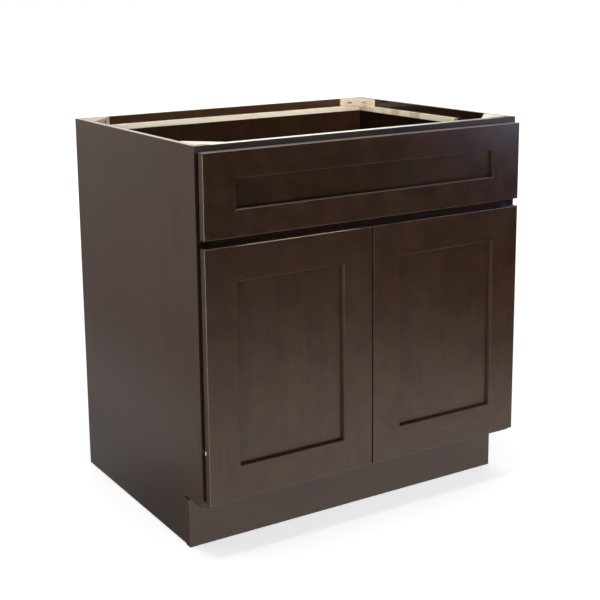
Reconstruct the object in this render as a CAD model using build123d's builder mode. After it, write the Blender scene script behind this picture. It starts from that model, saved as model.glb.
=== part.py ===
from build123d import *

import os
from math import sqrt

# Framed kitchen base cabinet of the sink-base type: plywood case, hardwood face frame, two doors
# that overlay the frame, and a fixed false front above them.
# +Z is up, the fronts face -Y, and the origin is under the middle of the whole object, on the floor.

# Overall sizes, in millimetres
cabinet_width = 838.2
cabinet_height = 876.3
case_depth = 609.6

# Plywood case
panel_thickness = 12.7
dado_depth = 6.35
rabbet_depth = 6.35
side_lift = 3.0

# Toe space
toe_height = 113.0
toe_setback = 63.5
toe_board_thickness = 19.05
toe_board_gap = 4.0

# Face frame
frame_thickness = 19.05
face_stile_width = 38.1
face_rail_height = 38.1

# Corner blocks, and the cleats under the back ones
block_leg = 68.0
block_tip = 5.0
block_thickness = 20.0
block_screw_inset = 17.6
block_screw_seat = 12.0
cleat_height = 12.7
cleat_thickness = 12.0
cleat_setback = 169.0

# Doors and false front, as they stand on the frame
front_thickness = 19.05
bumper_gap = 3.2
side_reveal = 6.35
top_reveal = 12.1
bottom_reveal = 12.7
front_gap = 17.0
meeting_gap = 3.2
false_front_height = 176.5

# Frame-and-panel joinery of the fronts
front_stile_width = 74.6
door_rail_height = 74.6
false_front_rail_height = 57.0
panel_recess = 9.5
front_panel_thickness = 6.35
groove_depth = 9.5
panel_float = 1.6
tongue_clearance = 0.5
groove_clearance = 0.1
edge_round = 1.6
sticking_chamfer = 1.6
back_edge_chamfer = 1.5

# Hinges
hinge_inset = 112.0
cup_radius = 17.5
cup_wall = 1.2
cup_floor = 1.0
cup_floor_clearance = 0.5
cup_bore_clearance = 0.1
flange_lip = 0.8
flange_thickness = 1.0
ear_spacing = 48.0
ear_offset = 5.5
ear_radius = 6.0
pin_radius = 1.5
pin_depth = 8.0
pin_end_margin = 0.35
barrel_radius = 2.9
barrel_clearance = 0.27
running_clearance = 0.05
arm_thickness = 2.0
arm_width = 9.0
arm_exit_clearance = 2.42
arm_bend_radius = 2.8
plate_height = 34.0
plate_margin = 1.5
plate_corner_radius = 3.0
plate_screw_spacing = 22.0

# Brackets that hold the false front
bracket_leg = 20.0
bracket_thickness = 1.6
bracket_height = 16.0
bracket_end_gap = 22.0
bracket_screw_reach = 12.0

# Bumpers
bumper_radius = 4.0
bumper_inset = 5.5
bumper_clearance = 0.2

# Wood screws
screw_head_radius = 3.3
screw_head_height = 1.4
screw_head_taper = 18.0
screw_shank_radius = 1.5
screw_length = 9.0
pilot_clearance = 0.05
pilot_end = 0.5
screw_pocket_radius = 3.7

# Levels and planes that follow from the sizes
half_width = cabinet_width / 2
inner_x = half_width - panel_thickness
front_stand_off = front_thickness + bumper_gap
frame_front = front_stand_off - (case_depth + front_stand_off) / 2
frame_back = frame_front + frame_thickness
case_back = frame_front + case_depth
back_inner = case_back - panel_thickness
front_face = frame_front - front_stand_off
front_back = frame_front - bumper_gap
toe_board_front = frame_front + toe_setback
toe_board_back = toe_board_front + toe_board_thickness

floor_top = toe_height + face_rail_height
block_bottom = cabinet_height - block_thickness
block_middle = cabinet_height - block_thickness / 2
cleat_bottom = block_bottom - cleat_height
opening_x = half_width - face_stile_width

front_edge_x = half_width - side_reveal
door_bottom = toe_height + bottom_reveal
false_front_top = cabinet_height - top_reveal
false_front_bottom = false_front_top - false_front_height
door_top = false_front_bottom - front_gap
middle_rail_bottom = (door_top + false_front_bottom - face_rail_height) / 2
middle_rail_top = middle_rail_bottom + face_rail_height
top_rail_bottom = cabinet_height - face_rail_height

groove_width = front_panel_thickness + groove_clearance
groove_front = front_face + panel_recess
groove_middle = groove_front + groove_width / 2

# Hinge plan: u is measured inwards from the door's outer edge, v backwards from the door's back
cup_mouth_radius = cup_radius - cup_wall
cup_half_chord = sqrt(cup_mouth_radius**2 - (arm_width / 2) ** 2)
stile_edge_u = face_stile_width - side_reveal
cup_u = stile_edge_u + arm_thickness + arm_exit_clearance - cup_half_chord
pin_u = cup_u - cup_half_chord + barrel_radius + barrel_clearance
cup_depth = pin_depth + barrel_radius + cup_floor_clearance + cup_floor
pin_length = 2 * (sqrt(cup_radius**2 - (cup_u - pin_u + pin_radius) ** 2) - pin_end_margin)
plate_depth = frame_thickness - 2 * plate_margin
hinge_heights = (door_bottom + hinge_inset, door_top - hinge_inset)
pilot_radius = screw_shank_radius + pilot_clearance
pilot_depth = screw_length + pilot_end

LEFT, RIGHT = -1, 1
FRONT, BACK = 1, -1


def save(piece, name):
    """Label a finished piece and write it under its name."""
    piece.part.label = name
    export_step(piece.part, f"parts/{name}.step")


def slab(x_range, y_range, z_range, mode=Mode.ADD):
    """A board, or a straight cut, between two limits along each axis."""
    middle = tuple((low + high) / 2 for low, high in (x_range, y_range, z_range))
    size = tuple(high - low for low, high in (x_range, y_range, z_range))
    with Locations(middle):
        Box(*size, mode=mode)


def span(first, second):
    """Two limits in rising order."""
    return min(first, second), max(first, second)


def pilots(seats, skip=0.0):
    """Drill a pilot hole for each screw, skip below its seat."""
    for seat in seats:
        with Locations(seat.offset(-skip)):
            Hole(radius=pilot_radius, depth=pilot_depth - skip)


def screws(name, seats, length=screw_length):
    """Round-head screws, one solid each, whose heads bear on the given planes."""
    with BuildPart() as group:
        for seat in seats:
            with BuildSketch(seat):
                Circle(screw_head_radius)
            extrude(amount=screw_head_height, taper=screw_head_taper)
            with BuildSketch(seat):
                Circle(screw_shank_radius)
            extrude(amount=-length)
    save(group, name)


# Screw seats: planes whose normal points out of the wood
def block_screw_walls(side, end):
    """Where a block's two screws cross the case: one on the side panel, one on the front or back."""
    corner_y = frame_back if end == FRONT else back_inner
    reach = block_leg - block_screw_inset
    return (
        Plane(origin=(side * inner_x, corner_y + end * reach, block_middle), z_dir=(-side, 0, 0)),
        Plane(origin=(side * (inner_x - reach), corner_y, block_middle), z_dir=(0, end, 0)),
    )


def hinge_x(side, u):
    """The X of a point u inside the outer edge of the door on that side."""
    return side * (front_edge_x - u)


def arm_screw_seats(side, height):
    """Heads of the two screws that hold a hinge arm to the inner edge of the frame stile."""
    x = side * (opening_x - arm_thickness)
    y = frame_front + frame_thickness / 2
    return [
        Plane(origin=(x, y, height + step * plate_screw_spacing / 2), z_dir=(-side, 0, 0))
        for step in (-1, 1)
    ]


def cup_screw_seats(side, height):
    """Heads of the two screws that hold a hinge cup to the back of the door."""
    x = hinge_x(side, cup_u + ear_offset)
    y = front_back + flange_thickness
    return [
        Plane(origin=(x, y, height + step * ear_spacing / 2), z_dir=(0, 1, 0)) for step in (-1, 1)
    ]


bracket_heights = (
    middle_rail_top + bracket_end_gap + bracket_height / 2,
    top_rail_bottom - bracket_end_gap - bracket_height / 2,
)


def bracket_frame_seats(side):
    """Heads of the bracket screws that go into the frame stile."""
    x = side * (opening_x - bracket_thickness)
    y = frame_front + frame_thickness / 2
    return [Plane(origin=(x, y, height), z_dir=(-side, 0, 0)) for height in bracket_heights]


def bracket_front_seats(side):
    """Heads of the bracket screws that go into the back of the false front."""
    x = side * (opening_x - bracket_screw_reach)
    y = front_back + bracket_thickness
    return [Plane(origin=(x, y, height), z_dir=(0, 1, 0)) for height in bracket_heights]


# Plywood case
def side_panel(name, side):
    """A side: notched for the toe space, with a dado for the floor and a rabbet for the back."""
    with BuildPart() as panel:
        with BuildSketch(Plane.YZ.offset(min(side * inner_x, side * half_width))):
            with BuildLine():
                Polyline(
                    (frame_back, cabinet_height),
                    (case_back, cabinet_height),
                    (case_back, side_lift),
                    (toe_board_back, side_lift),
                    (toe_board_back, toe_height),
                    (frame_back, toe_height),
                    close=True,
                )
            make_face()
        extrude(amount=panel_thickness)
        dado_x = span(side * inner_x, side * (inner_x + dado_depth))
        slab(dado_x, (frame_back, back_inner), (floor_top - panel_thickness, floor_top), Mode.SUBTRACT)
        rabbet_x = span(side * inner_x, side * (inner_x + rabbet_depth))
        slab(rabbet_x, (back_inner, case_back), (0, cabinet_height), Mode.SUBTRACT)
        pilots([block_screw_walls(side, end)[0] for end in (FRONT, BACK)])
    save(panel, name)


def back_panel():
    """The back, let into the rabbets of the sides and standing on the floor."""
    reach = inner_x + rabbet_depth
    with BuildPart() as panel:
        slab((-reach, reach), (back_inner, case_back), (0, cabinet_height))
        pilots([block_screw_walls(side, BACK)[1] for side in (LEFT, RIGHT)])
    save(panel, "back_panel")


def floor_panel():
    """The floor of the case, held in the dados of the sides, level with the bottom rail."""
    reach = inner_x + dado_depth
    with BuildPart() as panel:
        slab((-reach, reach), (frame_back, back_inner), (floor_top - panel_thickness, floor_top))
    save(panel, "floor_panel")


def toe_kick_board():
    """The full-width board on the notched front edges of the sides."""
    with BuildPart() as board:
        slab(
            (-half_width, half_width),
            (toe_board_front, toe_board_back),
            (0, toe_height - toe_board_gap),
        )
    save(board, "toe_kick_board")


def cleats():
    """Strips along the back and sides under the back blocks. The side strips stop short of the front."""
    levels = (cleat_bottom, block_bottom)
    for name, side in (("left_cleat", LEFT), ("right_cleat", RIGHT)):
        with BuildPart() as strip:
            across = span(side * inner_x, side * (inner_x - cleat_thickness))
            slab(across, (frame_back + cleat_setback, back_inner), levels)
        save(strip, name)
    reach = inner_x - cleat_thickness
    with BuildPart() as back_strip:
        slab((-reach, reach), (back_inner - cleat_thickness, back_inner), levels)
    save(back_strip, "back_cleat")


def corner_block(name, side, end):
    """A triangular block with blunt tips and two pocketed screw holes in its diagonal face."""
    corner_x = side * inner_x
    corner_y = frame_back if end == FRONT else back_inner
    outline = [(0, 0), (block_leg, 0), (block_leg, block_tip), (block_tip, block_leg), (0, block_leg)]
    with BuildPart() as block:
        with BuildSketch(Plane.XY.offset(block_bottom)):
            with BuildLine():
                Polyline(*[(corner_x - side * a, corner_y + end * b) for a, b in outline], close=True)
            make_face()
        extrude(amount=block_thickness)
        for wall in block_screw_walls(side, end):
            with BuildSketch(wall):
                Circle(pilot_radius)
            extrude(amount=block_screw_seat, mode=Mode.SUBTRACT)
            with BuildSketch(wall.offset(block_screw_seat)):
                Circle(screw_pocket_radius)
            extrude(amount=block_leg, mode=Mode.SUBTRACT)
    save(block, name)


def corner_blocks():
    """The four blocks and their screws."""
    seats = []
    for end_name, end in (("front", FRONT), ("back", BACK)):
        for side_name, side in (("left", LEFT), ("right", RIGHT)):
            corner_block(f"{end_name}_{side_name}_corner_block", side, end)
            seats += [wall.offset(block_screw_seat) for wall in block_screw_walls(side, end)]
    screws("corner_block_screws", seats, block_screw_seat + screw_length)


# Face frame
def face_stile(name, side):
    """An upright of the face frame, drilled on its inner edge for hinge arms and brackets."""
    with BuildPart() as stile:
        across = span(side * opening_x, side * half_width)
        slab(across, (frame_front, frame_back), (toe_height, cabinet_height))
        for height in hinge_heights:
            pilots(arm_screw_seats(side, height), arm_thickness)
        pilots(bracket_frame_seats(side), bracket_thickness)
    save(stile, name)


def face_rails():
    """The three rails between the uprights of the face frame."""
    rails = (
        ("frame_top_rail", top_rail_bottom),
        ("frame_mid_rail", middle_rail_bottom),
        ("frame_bottom_rail", toe_height),
    )
    for name, bottom in rails:
        with BuildPart() as rail:
            slab((-opening_x, opening_x), (frame_front, frame_back), (bottom, bottom + face_rail_height))
            if name == "frame_top_rail":
                pilots([block_screw_walls(side, FRONT)[1] for side in (LEFT, RIGHT)])
        save(rail, name)


# Frame-and-panel fronts
def front_stile(name, outer_x, inward, z_range, cup_holes=(), screw_seats=(), screw_skip=0.0):
    """An upright of a front: grooved, chamfered inside, rounded outside, bored for hinge cups."""
    bottom, top = z_range
    inner_edge = outer_x + inward * front_stile_width
    with BuildPart() as stile:
        with BuildSketch(Plane.XY.offset(bottom)):
            with Locations(((outer_x + inner_edge) / 2, (front_face + front_back) / 2)):
                Rectangle(front_stile_width, front_thickness)
            with Locations((inner_edge - inward * groove_depth / 2, groove_middle)):
                Rectangle(groove_depth, groove_width, mode=Mode.SUBTRACT)
        extrude(amount=top - bottom)
        uprights = stile.faces().sort_by(Axis.Y)[0].edges().filter_by(Axis.Z).sort_by(Axis.X)
        chamfer(uprights[-1 if inward > 0 else 0], length=sticking_chamfer)
        outline = stile.faces().sort_by(Axis.Y)[0].edges()
        inner_line = outline.filter_by(Axis.Z).sort_by(Axis.X)[-1 if inward > 0 else 0]
        fillet([edge for edge in outline if edge != inner_line], radius=edge_round)
        rear_uprights = stile.faces().sort_by(Axis.Y)[-1].edges().filter_by(Axis.Z).sort_by(Axis.X)
        chamfer(rear_uprights[0 if inward > 0 else -1], length=back_edge_chamfer)
        for hole in cup_holes:
            with Locations(hole):
                Hole(radius=cup_radius + cup_bore_clearance, depth=cup_depth + cup_bore_clearance)
        pilots(screw_seats, screw_skip)
    save(stile, name)
    return stile


def front_rail(name, stiles, inner_half, centre_x, z_range, outward):
    """A rail of a front: grooved, with tongues in the stile grooves and ends coped to the stiles."""
    bottom, top = z_range
    inner_z, outer_z = (bottom, top) if outward > 0 else (top, bottom)
    with BuildPart() as rail:
        with BuildSketch(Plane.YZ.offset(centre_x - inner_half - sticking_chamfer)):
            with Locations(((front_face + front_back) / 2, (bottom + top) / 2)):
                Rectangle(front_thickness, top - bottom)
            with Locations((groove_middle, inner_z + outward * groove_depth / 2)):
                Rectangle(groove_width, groove_depth, mode=Mode.SUBTRACT)
        extrude(amount=2 * (inner_half + sticking_chamfer))
        lengthwise = rail.faces().sort_by(Axis.Y)[0].edges().filter_by(Axis.X).sort_by(Axis.Z)
        if outward > 0:
            inner_line, outer_line = lengthwise[0], lengthwise[-1]
        else:
            inner_line, outer_line = lengthwise[-1], lengthwise[0]
        chamfer(inner_line, length=sticking_chamfer)
        fillet(outer_line, radius=edge_round)
        tongue_length = groove_depth - tongue_clearance
        tongue_z = span(inner_z + outward * groove_depth, outer_z)
        tongue_reach = inner_half + tongue_length
        slab(
            (centre_x - tongue_reach, centre_x + tongue_reach),
            (groove_front, groove_front + front_panel_thickness),
            tongue_z,
        )
        for stile in stiles:
            add(stile.part, mode=Mode.SUBTRACT)
    save(rail, name)


def front_panel(name, inner_half, centre_x, opening_z):
    """The flat panel, loose in the grooves round it."""
    reach = groove_depth - panel_float
    with BuildPart() as panel:
        slab(
            (centre_x - inner_half - reach, centre_x + inner_half + reach),
            (groove_front, groove_front + front_panel_thickness),
            (opening_z[0] - reach, opening_z[1] + reach),
        )
    save(panel, name)


def rails_and_panel(prefix, stiles, x_range, z_range, rail_height):
    """The two rails and the panel that complete a front between its stiles."""
    centre_x = sum(x_range) / 2
    inner_half = (x_range[1] - x_range[0]) / 2 - front_stile_width
    bottom, top = z_range
    front_rail(f"{prefix}_top_rail", stiles, inner_half, centre_x, (top - rail_height, top), 1)
    front_rail(f"{prefix}_bottom_rail", stiles, inner_half, centre_x, (bottom, bottom + rail_height), -1)
    front_panel(f"{prefix}_panel", inner_half, centre_x, (bottom + rail_height, top - rail_height))


def bumpers(name, places, thickness):
    """Round clear bumpers on the back of a front."""
    with BuildPart() as dots:
        for x, z in places:
            with BuildSketch(Plane(origin=(x, front_back, z), z_dir=(0, 1, 0))):
                Circle(bumper_radius)
            extrude(amount=thickness)
    save(dots, name)


def false_front():
    """The fixed upper front, with its brackets, screws and bumpers."""
    levels = (false_front_bottom, false_front_top)
    stiles = [
        front_stile(
            f"false_front_{side_name}_stile",
            side * front_edge_x,
            -side,
            levels,
            screw_seats=bracket_front_seats(side),
            screw_skip=bracket_thickness,
        )
        for side_name, side in (("left", LEFT), ("right", RIGHT))
    ]
    rails_and_panel(
        "false_front", stiles, (-front_edge_x, front_edge_x), levels, false_front_rail_height
    )
    with BuildPart() as brackets:
        for side in (LEFT, RIGHT):
            for height in bracket_heights:
                frame_leg_x = span(side * opening_x, side * (opening_x - bracket_thickness))
                front_leg_x = span(side * opening_x, side * (opening_x - bracket_leg))
                levels_z = (height - bracket_height / 2, height + bracket_height / 2)
                slab(frame_leg_x, (front_back, frame_back - plate_margin), levels_z)
                slab(front_leg_x, (front_back, front_back + bracket_thickness), levels_z)
        for side in (LEFT, RIGHT):
            for seat in bracket_frame_seats(side) + bracket_front_seats(side):
                with Locations(seat):
                    Hole(radius=pilot_radius, depth=bracket_thickness)
    save(brackets, "false_front_brackets")
    seats = [
        seat for side in (LEFT, RIGHT) for seat in bracket_frame_seats(side) + bracket_front_seats(side)
    ]
    screws("false_front_bracket_screws", seats)
    inset = bumper_radius + bumper_inset
    places = [
        (side * (front_edge_x - inset), z)
        for side in (LEFT, RIGHT)
        for z in (false_front_bottom + inset, false_front_top - inset)
    ]
    bumpers("false_front_bumpers", places, bumper_gap)


# Hinges
def hinge_cup(name, side, height):
    """The round cup in the back of the door, with its two-eared flange and the holes for the pin."""
    centre = (hinge_x(side, cup_u), front_back, height)
    mouth = Plane(origin=centre, x_dir=(1, 0, 0), z_dir=(0, 1, 0))
    with BuildPart() as cup:
        with BuildSketch(mouth):
            Circle(cup_radius + flange_lip)
            with Locations((-side * ear_offset, ear_spacing / 2), (-side * ear_offset, -ear_spacing / 2)):
                Circle(ear_radius)
            make_hull()
        extrude(amount=flange_thickness)
        with BuildSketch(mouth):
            Circle(cup_radius)
        extrude(amount=-cup_depth)
        with BuildSketch(mouth.offset(flange_thickness)):
            Circle(cup_mouth_radius)
        extrude(amount=-(flange_thickness + cup_depth - cup_floor), mode=Mode.SUBTRACT)
        for seat in cup_screw_seats(side, height):
            with Locations(seat):
                Hole(radius=pilot_radius, depth=flange_thickness)
        with Locations((hinge_x(side, pin_u), front_back - pin_depth, height)):
            Cylinder(pin_radius + running_clearance, 2 * cup_radius, mode=Mode.SUBTRACT)
    save(cup, name)


def hinge_arm(name, side, height):
    """The cranked arm: a barrel on the pin, a run through the cup and a plate on the frame stile."""
    pin = (hinge_x(side, pin_u), front_back - pin_depth)
    run_x = span(pin[0], side * (opening_x - arm_thickness))
    run_front = pin[1] - barrel_radius
    riser_x = span(side * opening_x, side * (opening_x - arm_thickness))
    plate_y = (frame_front + plate_margin, frame_front + plate_margin + plate_depth)
    outer_bend = (side * (opening_x - arm_thickness), run_front)
    inner_bend = (side * opening_x, run_front + arm_thickness)
    with BuildPart() as arm:
        with BuildSketch(Plane.XY.offset(height - arm_width / 2)) as plan:
            with Locations((sum(run_x) / 2, run_front + arm_thickness / 2)):
                Rectangle(run_x[1] - run_x[0], arm_thickness)
            with Locations((sum(riser_x) / 2, (run_front + plate_y[1]) / 2)):
                Rectangle(arm_thickness, plate_y[1] - run_front)
            fillet(plan.vertices().sort_by_distance(outer_bend)[0], radius=arm_bend_radius)
            inner_radius = arm_bend_radius - arm_thickness
            fillet(plan.vertices().sort_by_distance(inner_bend)[0], radius=inner_radius)
            with Locations(pin):
                Circle(barrel_radius)
                Circle(pin_radius + running_clearance, mode=Mode.SUBTRACT)
        extrude(amount=arm_width)
        plate_plane = Plane(
            origin=(side * opening_x, sum(plate_y) / 2, height), x_dir=(0, 1, 0), z_dir=(-side, 0, 0)
        )
        with BuildSketch(plate_plane):
            RectangleRounded(plate_depth, plate_height, plate_corner_radius)
        extrude(amount=arm_thickness)
        for seat in arm_screw_seats(side, height):
            with Locations(seat):
                Hole(radius=pilot_radius, depth=arm_thickness)
    save(arm, name)


def hinge_pins(name, side):
    """The two pins of a door's hinges, in line."""
    with BuildPart() as pins:
        for height in hinge_heights:
            with Locations((hinge_x(side, pin_u), front_back - pin_depth, height)):
                Cylinder(pin_radius, pin_length)
    save(pins, name)


# Doors
def door(side_name, side):
    """One door: stiles, rails, panel, hinge cups and pins, screws and bumpers."""
    hinge_edge = side * front_edge_x
    meeting_edge = side * meeting_gap / 2
    levels = (door_bottom, door_top)
    cup_holes = [
        Plane(origin=(hinge_x(side, cup_u), front_back, height), z_dir=(0, 1, 0))
        for height in hinge_heights
    ]
    cup_seats = [seat for height in hinge_heights for seat in cup_screw_seats(side, height)]
    prefix = f"{side_name}_door"
    stiles = [
        front_stile(
            f"{prefix}_hinge_stile", hinge_edge, -side, levels, cup_holes, cup_seats, flange_thickness
        ),
        front_stile(f"{prefix}_meeting_stile", meeting_edge, side, levels),
    ]
    rails_and_panel(prefix, stiles, span(hinge_edge, meeting_edge), levels, door_rail_height)
    for level_name, height in zip(("lower", "upper"), hinge_heights):
        hinge_cup(f"{side_name}_{level_name}_hinge_cup", side, height)
        hinge_arm(f"{side_name}_{level_name}_hinge_arm", side, height)
    hinge_pins(f"{side_name}_hinge_pins", side)
    screws(f"{side_name}_hinge_cup_screws", cup_seats)
    places = [
        (side * (meeting_gap / 2 + bumper_radius + bumper_inset), z)
        for z in (door_bottom + bumper_inset, door_top - bumper_inset)
    ]
    bumpers(f"{prefix}_bumpers", places, bumper_gap - bumper_clearance)


os.makedirs("parts", exist_ok=True)
side_panel("left_side_panel", LEFT)
side_panel("right_side_panel", RIGHT)
back_panel()
floor_panel()
toe_kick_board()
cleats()
corner_blocks()
face_stile("left_frame_stile", LEFT)
face_stile("right_frame_stile", RIGHT)
face_rails()
false_front()
door("left", LEFT)
door("right", RIGHT)
screws(
    "hinge_arm_screws",
    [
        seat
        for side in (LEFT, RIGHT)
        for height in hinge_heights
        for seat in arm_screw_seats(side, height)
    ],
)
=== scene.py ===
"""Kitchen base cabinet: finishes, small fittings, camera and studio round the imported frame."""

from __future__ import annotations

import logging
import math
from dataclasses import dataclass, replace
from enum import Enum
from functools import reduce
from typing import Any, Sequence

import bpy
import numpy as np
from mathutils import Matrix, Vector

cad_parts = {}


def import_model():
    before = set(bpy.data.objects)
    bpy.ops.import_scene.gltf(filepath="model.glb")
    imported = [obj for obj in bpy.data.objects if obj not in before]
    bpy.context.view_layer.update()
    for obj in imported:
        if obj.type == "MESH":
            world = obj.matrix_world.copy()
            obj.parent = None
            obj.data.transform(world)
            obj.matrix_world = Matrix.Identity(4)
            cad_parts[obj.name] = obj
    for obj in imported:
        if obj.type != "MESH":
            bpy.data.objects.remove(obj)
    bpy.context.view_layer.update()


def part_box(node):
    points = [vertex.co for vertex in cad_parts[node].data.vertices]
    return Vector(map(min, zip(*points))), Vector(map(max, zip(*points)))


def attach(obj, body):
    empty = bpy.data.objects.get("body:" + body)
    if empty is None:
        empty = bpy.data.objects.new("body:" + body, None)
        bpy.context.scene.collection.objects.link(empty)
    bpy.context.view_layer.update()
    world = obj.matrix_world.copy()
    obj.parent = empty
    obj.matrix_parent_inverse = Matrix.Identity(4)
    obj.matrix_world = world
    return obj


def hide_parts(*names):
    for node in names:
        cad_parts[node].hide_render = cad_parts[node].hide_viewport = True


LOG = logging.getLogger("cabinet")
MM = 0.001

Colour = tuple[float, float, float]
Point = tuple[float, float, float]
Range = tuple[float, float]
Step = tuple[float, ...]
Material = bpy.types.Material
Socket = bpy.types.NodeSocket

WHITE = (1.0, 1.0, 1.0)

# A step is the low and the high value, and then the first and the last result where they aren't 0 and 1.
SHEEN_STEP: Step = (0.3, 0.7)
PORE_STEP: Step = (0.62, 0.72)
NOISE_ROUGHNESS = 0.55

# How long streaks are, and how wide and long fibres and pores are.
STREAK_LENGTH = 420 * MM
FIBRE_SIZE = (1.1 * MM, 46 * MM)
PORE_SIZE = (0.7 * MM, 9 * MM)

# A piece's patterns are moved by its place times this.
STAIN_SHIFT = 7.3
WOOD_SHIFT = 5.1

# Points closer than this are one point.
WELD_GAP = 0.002 * MM

# Edges sharper than this are eased, in so many steps.
EASE_ANGLE = math.radians(40)
EASE_STEPS = 2


class Axis(Enum):
    """An axis of the row frame."""

    X = 0
    Y = 1
    Z = 2


class Side(Enum):
    """A side of the cabinet, as the sign of its X."""

    LEFT = -1
    RIGHT = 1

    @property
    def label(self) -> str:
        """The side as the nodes' names say it."""
        return self.name.lower()


@dataclass(frozen=True)
class Box:
    """The box that a piece fills, in metres."""

    low: Vector
    high: Vector

    @classmethod
    def of(cls, node: str) -> "Box":
        """The box of one CAD node."""
        return cls(*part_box(node))

    @classmethod
    def around(cls, nodes: Sequence[str]) -> "Box":
        """The box round several CAD nodes."""
        corners = np.array([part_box(node) for node in nodes], float)
        return cls(Vector(corners[:, 0].min(axis=0)), Vector(corners[:, 1].max(axis=0)))

    @property
    def centre(self) -> Vector:
        """The middle of the box."""
        return (self.low + self.high) / 2

    @property
    def half(self) -> Vector:
        """Half of the box's size along each axis."""
        return (self.high - self.low) / 2


@dataclass(frozen=True)
class Piece:
    """A wooden piece: its node, the axis of its fibre, the width of its streaks and what it is part of."""

    node: str
    axis: Axis
    streak: float = 11 * MM
    whole: Box | None = None

    @property
    def box(self) -> Box:
        """The piece's own box."""
        return Box.of(self.node)

    @property
    def worn(self) -> Box:
        """The box whose edges are worn and carry painted highlights: the whole's, or else the piece's own.
        """
        return self.whole or self.box

    def dress(self, finish: StainedWood | NaturalWood | EdgedPanel, ease: float = 0.0) -> None:
        """Give the piece a finish, and ease its sharp edges."""
        dress(self.node, finish.material(self), ease)


class Bench:
    """Places and joins the shader nodes of one tree, with patterns moved by shift."""

    def __init__(self, tree: bpy.types.NodeTree, shift: Point = (0, 0, 0)) -> None:
        """Start on an empty tree.

        Args:
            tree: where the nodes go.
            shift: how far patterns are moved, so that no two pieces look alike.
        """
        self.tree = tree
        self.shift = shift
        self.tree.nodes.clear()

    def add(self, kind: str, inputs: dict[Any, Any] | None = None, **settings: Any) -> bpy.types.Node:
        """Place one node.

        Args:
            kind: Blender's name of the node type.
            inputs: sockets by name or number, each with a value or the output that feeds it.
            settings: the node's own options.

        Returns:
            The new node.
        """
        node = self.tree.nodes.new(kind)
        for name, value in settings.items():
            setattr(node, name, value)
        self.feed(node, inputs or {})
        return node

    def feed(self, node: bpy.types.Node, inputs: dict[Any, Any]) -> None:
        """Give a node's sockets values, or join them to outputs.

        Args:
            node: the node.
            inputs: sockets by name or number, each with a value or the output that feeds it.
        """
        for name, value in inputs.items():
            if isinstance(value, Socket):
                self.tree.links.new(value, node.inputs[name])
            else:
                node.inputs[name].default_value = value

    def place(self) -> Socket:
        """The point's place in the row frame."""
        return self.add("ShaderNodeTexCoord").outputs["Object"]

    def facing(self) -> Socket:
        """The surface's own direction in the row frame."""
        return self.add("ShaderNodeTexCoord").outputs["Normal"]

    def parts(self, vector: Socket) -> list[Socket]:
        """A vector's three numbers."""
        return list(self.add("ShaderNodeSeparateXYZ", {"Vector": vector}).outputs)

    def where(self, axis: Axis) -> Socket:
        """The point's place along one axis."""
        return self.parts(self.place())[axis.value]

    def looks(self, axis: Axis) -> Socket:
        """How far the surface faces along one axis, from -1 to 1."""
        return self.parts(self.facing())[axis.value]

    def maths(self, operation: str, first: Any, second: Any = 0.0) -> Socket:
        """One sum on two numbers."""
        return self.add("ShaderNodeMath", {0: first, 1: second}, operation=operation).outputs[0]

    def less(self, first: Any, second: Any) -> Socket:
        """The first number less the second."""
        return self.maths("SUBTRACT", first, second)

    def times(self, *factors: Any) -> Socket:
        """Numbers multiplied together."""
        return reduce(lambda product, factor: self.maths("MULTIPLY", product, factor), factors)

    def vector(self, operation: str, first: Any, second: Any = (0, 0, 0)) -> Socket:
        """One sum on two vectors: a vector, or one number for a length or a dot product."""
        node = self.add("ShaderNodeVectorMath", {0: first, 1: second}, operation=operation)
        return node.outputs["Value" if operation in ("LENGTH", "DOT_PRODUCT") else "Vector"]

    def smooth(self, value: Any, low: float, high: float, first: float = 0.0, last: float = 1.0) -> Socket:
        """A soft step from first to last while the value goes from low to high."""
        inputs = {"Value": value, "From Min": low, "From Max": high, "To Min": first, "To Max": last}
        return self.add("ShaderNodeMapRange", inputs, interpolation_type="SMOOTHSTEP").outputs[0]

    def noise(self, rates: float | Point, detail: float = 3.0, still: bool = False) -> Socket:
        """Soft noise from 0 to 1.

        Args:
            rates: features to the metre, as one number or one for each axis.
            detail: how many finer layers it has.
            still: whether the pattern isn't moved.

        Returns:
            The noise.
        """
        scale = rates if isinstance(rates, tuple) else (rates,) * 3
        shift = (0, 0, 0) if still else self.shift
        place = self.add("ShaderNodeMapping", {"Vector": self.place(), "Location": shift, "Scale": scale})
        inputs = {"Vector": place.outputs[0], "Scale": 1.0, "Detail": detail, "Roughness": NOISE_ROUGHNESS}
        return self.add("ShaderNodeTexNoise", inputs).outputs["Fac"]

    def mix(self, factor: Any, first: Any, second: Any, mode: str = "MIX") -> Socket:
        """Two colours mixed by a factor."""
        inputs = {0: factor, 6: solid(first), 7: solid(second)}
        return self.add("ShaderNodeMix", inputs, data_type="RGBA", blend_type=mode).outputs[2]

    def blend(self, factor: Any, first: Any, second: Any) -> Socket:
        """Two numbers mixed by a factor."""
        return self.add("ShaderNodeMix", {0: factor, 2: first, 3: second}, data_type="FLOAT").outputs[0]

    def shade(self, colour: Any, share: Any) -> Socket:
        """A colour times one number."""
        grey = self.add("ShaderNodeCombineXYZ", {0: share, 1: share, 2: share}).outputs[0]
        return self.mix(1.0, colour, grey, "MULTIPLY")

    def bump(self, height: Socket, distance: float, strength: float) -> Socket:
        """A surface direction that follows a height from 0 to 1, distance metres high."""
        inputs = {"Height": height, "Distance": distance, "Strength": strength}
        return self.add("ShaderNodeBump", inputs).outputs["Normal"]


def solid(colour: Any) -> Any:
    """A plain colour with its alpha, or a socket as it is."""
    return colour if isinstance(colour, Socket) else (*colour, 1.0)


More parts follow.
